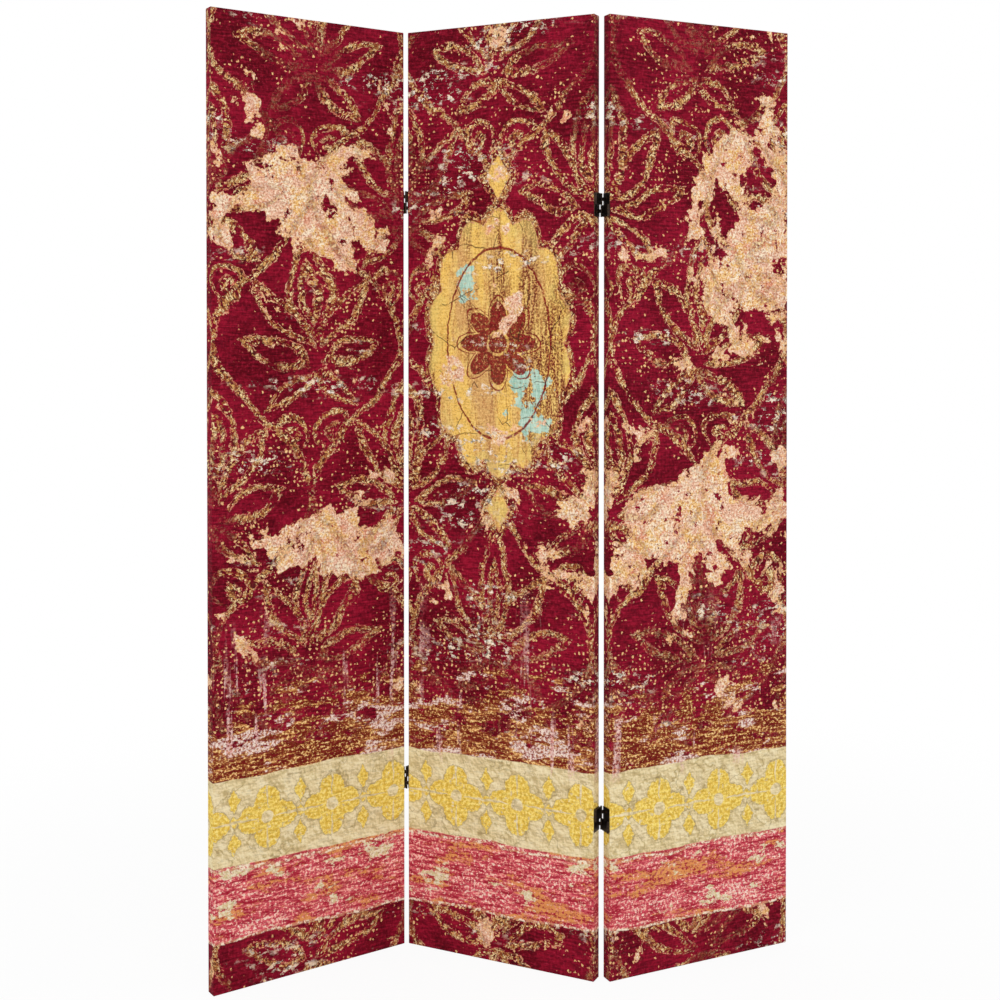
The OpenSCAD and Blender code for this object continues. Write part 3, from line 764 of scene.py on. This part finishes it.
yellow = yellow * noise(cloth, 0.014, 4, 0.7, (2, 2)).rise(0.32, 0.38)
leaf_paint = mix(mottle.rise(0.36, 0.62), (216, 174, 66), (244, 214, 106))
leaf_paint = mix((mottle + grain).rise(1.06, 1.2) * 0.6, leaf_paint, (252, 232, 150))

creases = abs(noise(cloth, 0.07, 3, 0.55, (3, 1)) - 0.5)
folds = noise(cloth, 0.045, 5, 0.6, (3, 1)) - noise(cloth, 0.045, 5, 0.6, (3.0016, 1.0024))
paper = layers(
    mix(creases.rise(0, 0.05) * 0.75 + 0.25, (196, 174, 120), (226, 206, 158)),
    (noise(cloth, 0.035, 4, 0.6, (7, 5)).rise(0.48, 0.68) * 0.7, (238, 222, 182)),
    (folds.rise(0, 0.06) * 0.7, (244, 230, 190)),
    (folds.rise(0, -0.06) * 0.5, (178, 154, 106)),
    (creases.rise(0.012, 0.003) * blotch.rise(0.46, 0.54) * 0.5, (146, 124, 84)),
    (outline * 0.6, (160, 138, 92)),
    (yellow, leaf_paint))
cream = level.rise(CREAM_FOOT, CREAM_FOOT + 0.002) * gentle.rise(CREAM_TOP, CREAM_TOP - 0.002)
picture = mix(cream, picture, paper)
print("cream border:", len(ornament.nodes), "nodes")

# %% [markdown]
# The rose border is scratched down to the layers under it, and flaked where it has come off whole. Light
# torn lines mark the seams between the borders, and above them pale paint has run down in drips. Last comes
# the cloth's own grain, which darkens and lightens everything a little, so that the ink sits in the canvas.

# %% The ornament: rose border, drips and the cloth's grain
rose = rose_level.rise(ROSE_FOOT, ROSE_FOOT + 0.003) * gentle.rise(ROSE_TOP, ROSE_TOP - 0.002)
scratches = (along * 0.7 + grain * 0.8 + blotch * 0.5).rise(1.08, 1.16)
scratched = mix(mottle.rise(0.4, 0.6), (248, 176, 160), (252, 226, 208))
flaked = noise(cloth, 0.06, 7, 0.7, (6, 2), (0.6, 1.2)).rise(0.6, 0.612)
bare = mix(mottle.rise(0.42, 0.6), (218, 196, 146), (240, 228, 200))
rose_paint = layers(
    mix((along + blotch * 0.4).rise(0.6, 0.8), (162, 28, 50), (216, 84, 100)),
    ((along * 0.9 + grain * 0.7).rise(0.78, 0.92) * 0.85, (242, 146, 136)),
    (blotch.rise(0.47, 0.41) * (along + mottle).rise(0.88, 1.0), (224, 148, 86)),
    (scratches, scratched),
    (flaked * grain.rise(0.28, 0.4), bare))

seams = abs(level - CREAM_FOOT - 0.001).low(abs(rose_level - ROSE_FOOT - 0.002)).rise(0.0034, 0.0012)
seam_paint = mix(chip_tone.rise(0.44, 0.54), (206, 140, 110), (244, 226, 200))
drips = noise(cloth, 0.03, 3, 0.6, (0.7, 0.2), (1, 0.08)).rise(0.58, 0.64)
drips = drips * noise(cloth, 0.16, 2, 0.5, (5, 0)).rise(0.48, 0.6)
drips = drips * t.rise(0.74, 0.5) * t.rise(0.36, 0.4) * (grain + mottle).rise(0.84, 1.0)
picture = layers(
    picture,
    (rose * 0.97, rose_paint),
    (seams * grain.rise(0.38, 0.5), seam_paint),
    (drips * 0.85, mix(mottle.rise(0.4, 0.6), (206, 120, 124), (240, 206, 196))),
    (thick.rise(0, 0.14) * 0.17, (0, 0, 0)))
picture = mix(thick.rise(0, -0.14) * 0.22, picture, (255, 248, 241), "SOFT_LIGHT")
join(picture, colour_out)
print("ornament:", len(ornament.nodes), "nodes in all")

# %% [markdown]
# The print's material brings them together. The picture is ink on canvas, so it has no relief of its own,
# however thick its paint looks: the only bump is the weave, and the ink dulls evenly over the threads.


# %% Printed canvas material
def new_material(name):
    material = bpy.data.materials.new(name)
    material.use_nodes = True
    tree = material.node_tree
    return material, tree, tree.nodes["Principled BSDF"].inputs


def bump(height, distance, strength):
    """The normal of a bumpy surface. A height of 1 stands out by distance, in metres."""
    node = height.tree.nodes.new("ShaderNodeBump")
    for label, value in (("Strength", strength), ("Distance", distance), ("Height", height)):
        join(value, node.inputs[label])
    return Field(node.outputs[0])


def printed_canvas(name):
    material, tree, shader = new_material(name)
    print_map = tree.nodes.new("ShaderNodeUVMap")
    print_map.uv_map = "print"
    cloth = Field(print_map.outputs[0])
    threads, slub = use(weave_group, cloth, THREAD_PITCH)
    join(use(ornament, cloth, slub)[0], shader["Base Color"])
    join((slub - 0.5) * 0.25 + 0.74, shader["Roughness"])
    join(bump(threads, 0.00025, 0.6), shader["Normal"])
    join(0.06, shader["Specular IOR Level"])
    return material


for side, pieces in (("front", front_pieces), ("back", back_pieces)):
    material = printed_canvas(f"printed canvas, {side}")
    for piece in pieces:
        piece.data.materials.append(material)
print("printed canvas on", len(front_pieces) + len(back_pieces), "pieces")

# %% [markdown]
# The hinges are dark bronze: metal that was browned in a bath, and rubbed through to a warmer brown where
# hands and wear reach it, which is along its edges. The Bevel node shows where those are, because the
# normal that it rounds differs there from the true one.

# %% Edge wear and rubbed bronze
WEAR_REACH = 0.0006
wear_group, (point, reach), (wear_out,) = new_group(
    "edge wear", {"Point": ZERO, "Reach": WEAR_REACH}, ["Wear"])
rounded = point.add_node("Bevel", reach, samples=6)
true_normal = Field(wear_group.nodes.new("ShaderNodeNewGeometry").outputs["Normal"])
facing = rounded.add_node("VectorMath", rounded, true_normal, operation="DOT_PRODUCT", output=1)
patchy = point.add_node("TexNoise", point, None, 420.0, 4.0, 0.6)
join((1.0 - facing).rise(0.004, 0.1) * patchy.rise(0.36, 0.62), wear_out)


def object_place(tree):
    return Field(tree.nodes.new("ShaderNodeTexCoord").outputs["Object"])


def metal(name, dark, light, rubbed, rough, metallic):
    material, tree, shader = new_material(name)
    point = object_place(tree)
    wear = use(wear_group, point, WEAR_REACH)[0]
    clouds = point.add_node("TexNoise", point, None, 160.0, 5.0, 0.62)
    scratches = point.add_node("Mapping", point, None, None, (900.0, 900.0, 60.0))
    scratches = scratches.add_node("TexNoise", scratches, None, 1.0, 2.0, 0.6)
    colour = mix(clouds.rise(0.34, 0.68), dark, light)
    join(mix(wear * 0.8, colour, rubbed), shader["Base Color"])
    join((clouds - 0.5) * 0.22 + rough - wear * 0.1, shader["Roughness"])
    join(metallic, shader["Metallic"])
    join(bump(scratches * 0.25 + clouds, 0.00006, 0.5), shader["Normal"])
    return material


bronze = metal("browned bronze", (34, 27, 24), (58, 45, 37), (132, 96, 64), 0.42, 0.85)
pin_steel = metal("blackened pin steel", (40, 38, 36), (66, 62, 58), (126, 120, 112), 0.34, 0.9)
staple_steel = metal(
    "bright staple wire", (150, 150, 148), (186, 186, 184), (214, 214, 212), 0.3, 1.0)
print("metals:", bronze.name, pin_steel.name, staple_steel.name)

# %% [markdown]
# The frames under the canvas are planed softwood. Nobody sees them while the screen is whole, but they are
# real pieces, so they get their grain: rings stretched along each bar, with fine pores. Bars run upright
# or along their own panel, so each direction has its own copy of the material.


# %% Planed softwood
def softwood(name, along):
    material, tree, shader = new_material(name)
    point = object_place(tree)
    down = point.add_node("VectorMath", point, along, operation="DOT_PRODUCT", output=1)
    slow_part = down.add_node("VectorMath", along, None, None, down, operation="SCALE")
    squeezed = slow_part.add_node("VectorMath", slow_part, (-0.93,) * 3, point, operation="MULTIPLY_ADD")
    knots = squeezed.add_node("TexNoise", squeezed, None, 14.0, 2.0, 0.5)
    rings = abs((knots * 26.0).math("FRACT") - 0.5) * 2.0
    pores = squeezed.add_node("TexNoise", squeezed, None, 900.0, 2.0, 0.6)
    colour = mix(rings.rise(0.15, 0.95), (226, 196, 146), (196, 152, 98))
    join(mix(pores.rise(0.5, 0.7) * 0.35, colour, (168, 122, 76)), shader["Base Color"])
    join(rings * 0.1 + 0.58, shader["Roughness"])
    join(bump(pores + rings * 0.5, 0.00012, 0.4), shader["Normal"])
    return material


upright_wood = softwood("planed softwood, upright", (0.0, 0.0, 1.0))
cross_wood = {name: softwood(f"planed softwood, across {name}", tuple(place.col[0][:3]))
              for name, (place, *_) in panels.items()}
print("softwood for stiles, and for the rails of", len(cross_wood), "panels")

# %% [markdown]
# Screws are small, but a hinge looks real through them. Each is turned on a lathe in code: a ring of points
# follows the profile, from the countersunk head down a shank whose radius rises and falls to give the
# thread. The cross in the head is pressed in by lowering the points that lie on its two bars.

# %% Cross-head screws
AROUND, POINT_L, SCREWS_APART = 48, 0.003, 0.006
HEAD_RINGS = (0.08, 0.16, 0.26, 0.36, 0.46, 0.55, 0.62, 0.66, 0.9, 0.985)


def circle(r):
    """Points round a circle, as y and z."""
    turns = (math.tau * i / AROUND for i in range(AROUND))
    return [(r * math.cos(a), r * math.sin(a)) for a in turns]


def screw_mesh(bm, head_r, shank_r, long, place):
    """One screw along -X with its head's face at the origin."""
    head_l = head_r - shank_r

    def recess(y, z):
        bar = min(max(abs(y), abs(z)) / (head_r * 0.62), 1)
        narrow = min(abs(y), abs(z))
        return 0.0011 * (1 - bar ** 2) if narrow < head_r * 0.13 and bar < 1 else 0.0

    rings = [[bm.verts.new((-recess(0, 0), 0, 0))]]
    for share in HEAD_RINGS:
        rings.append([bm.verts.new((-recess(y, z), y, z)) for y, z in circle(head_r * share)])
    profile = [(0.00012, head_r), (head_l, shank_r * 1.02), (head_l + 0.002, shank_r)]
    for i in range(34):
        x = head_l + 0.0025 + i * (long - head_l - 0.003) / 34
        taper = min(1, (long - x) / POINT_L)
        profile.append((x, max(0.00012, shank_r * taper * (1.0 if i % 2 else 0.8))))
    for x, r in profile:
        rings.append([bm.verts.new((-x, y, z)) for y, z in circle(r)])
    rings.append([bm.verts.new((-long, 0, 0))])
    for low, high in zip(rings, rings[1:]):
        for i in range(AROUND):
            corners = [low[i % len(low)], high[i % len(high)],
                       high[(i + 1) % len(high)], low[(i + 1) % len(low)]]
            bm.faces.new(list(dict.fromkeys(corners)))
    bmesh.ops.transform(bm, matrix=place, verts=[v for ring in rings for v in ring])


def screws(node_name, panel):
    """New screws for one column of a seam, each set in the place of its plain solid."""
    place = panels[panel][0]
    to_panel = place.inverted()
    groups = []
    for p in sorted((to_panel @ v.co for v in solids[node_name].data.vertices), key=lambda p: p.z):
        if groups and p.z - groups[-1][-1].z < SCREWS_APART:
            groups[-1].append(p)
        else:
            groups.append([p])
    bm = bmesh.new()
    for n, group in enumerate(groups):
        low = Vector([min(p[i] for p in group) for i in range(3)])
        high = Vector([max(p[i] for p in group) for i in range(3)])
        middle, head_r = (low + high) / 2, (high.z - low.z) / 2
        faces_right = middle.x > 0
        at = Matrix.Translation((high.x if faces_right else low.x, middle.y, middle.z))
        turn = Matrix() if faces_right else Matrix.Rotation(math.pi, 4, "Z")
        spin = Matrix.Rotation(0.4 + 1.1 * n, 4, "X")
        screw_mesh(bm, head_r * 0.99, head_r / 2, high.x - low.x, place @ at @ turn @ spin)
    bmesh.ops.recalc_face_normals(bm, faces=bm.faces)
    piece = new_piece(node_name.replace("_screws", "_cross_screws"), bm)
    piece.data.materials.append(bronze)
    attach(piece, f"{panel}_panel")
    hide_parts(node_name)
    return len(groups)


screw_columns = (("left", "left", "left"), ("left", "right", "centre"),
                 ("right", "left", "centre"), ("right", "right", "right"))
made = [screws(f"{seam}_seam_{leaf}_leaf_screws", panel) for seam, leaf, panel in screw_columns]
print("screws in each column", made)

# %% [markdown]
# The leaves, links and pins are right as they are. Sheet metal is never knife-edged, so a fine Bevel
# modifier breaks their edges, which lets them catch the light. Then every solid gets its material.

# %% Finish of the solids
EDGE_BREAK = 0.00015
finish = {"hinge_bronze": bronze, "pin_steel": pin_steel, "staple_steel": staple_steel}
slots = {part["node"]: part["material_slot"] for part in frame["record"]["subparts"]}
for name, solid in solids.items():
    material = finish.get(slots[name])
    if slots[name] == "frame_wood":
        material = upright_wood if name.endswith("stile") else cross_wood[name.split("_")[0]]
    if material is None:
        continue
    solid.data.materials.clear()
    solid.data.materials.append(material)
    if name.endswith(("_leaf", "_link")):
        rounding = solid.modifiers.new("broken edges", "BEVEL")
        rounding.width, rounding.segments = EDGE_BREAK, 2
        rounding.limit_method, rounding.angle_limit = "ANGLE", math.radians(35)
print("finished", sum(bool(s.data.materials) for s in solids.values()), "solids")

# %% [markdown]
# A white studio keeps the colours as they are printed. Large soft lamps stand at both sides of the camera
# and the world fills the rest. The floor is white to the camera, with the screen's faint shadow on it: what
# the camera sees of the world is pure white too, so floor and background run into each other.

# %% Floor, world and lamps
LAMP_SIZE = 1.6


def seen_directly(tree):
    """1 for a ray that comes straight from the camera or by a mirror-like bounce."""
    ray = tree.nodes.new("ShaderNodeLightPath")
    return Field(ray.outputs["Is Camera Ray"]).high(Field(ray.outputs["Is Glossy Ray"]))


def soft_lamp(name, place, power):
    """A square area lamp that looks at the middle of the screen."""
    lamp = bpy.data.objects.new(name, bpy.data.lights.new(name, "AREA"))
    lamp.data.shape, lamp.data.size, lamp.data.energy = "SQUARE", LAMP_SIZE, power
    lamp.location = place
    lamp.rotation_euler = (Vector((0, 0, PANEL_H / 2)) - Vector(place)).to_track_quat("-Z", "Y").to_euler()
    bpy.context.collection.objects.link(lamp)


bpy.ops.mesh.primitive_grid_add(x_subdivisions=4, y_subdivisions=4, size=30, location=(0, 0, -0.0004))
floor = bpy.context.object
floor.name = "studio_floor"
floor_material, tree, shader = new_material("white studio floor")
join((0.86, 0.86, 0.86, 1), shader["Base Color"])
join(0.9, shader["Roughness"])
glow = tree.nodes.new("ShaderNodeEmission")
both = tree.nodes.new("ShaderNodeMixShader")
far_off = object_place(tree).length().rise(0.8, 2.2)
join(seen_directly(tree) * (far_off * 0.07 + 0.93), both.inputs[0])
tree.links.new(tree.nodes["Principled BSDF"].outputs[0], both.inputs[1])
tree.links.new(glow.outputs[0], both.inputs[2])
tree.links.new(both.outputs[0], tree.nodes["Material Output"].inputs["Surface"])
floor.data.materials.append(floor_material)

world = bpy.data.worlds.new("white studio")
bpy.context.scene.world = world
world.use_nodes = True
background = world.node_tree.nodes["Background"].inputs
join(seen_directly(world.node_tree) * 0.22 + 0.78, background["Strength"])
join((1, 1, 1, 1), background["Color"])

soft_lamp("left softbox", (-1.9, -3.2, 2.3), 32)
soft_lamp("right softbox", (2.1, -3.0, 2.1), 24)
bpy.context.scene.view_settings.view_transform = "Standard"
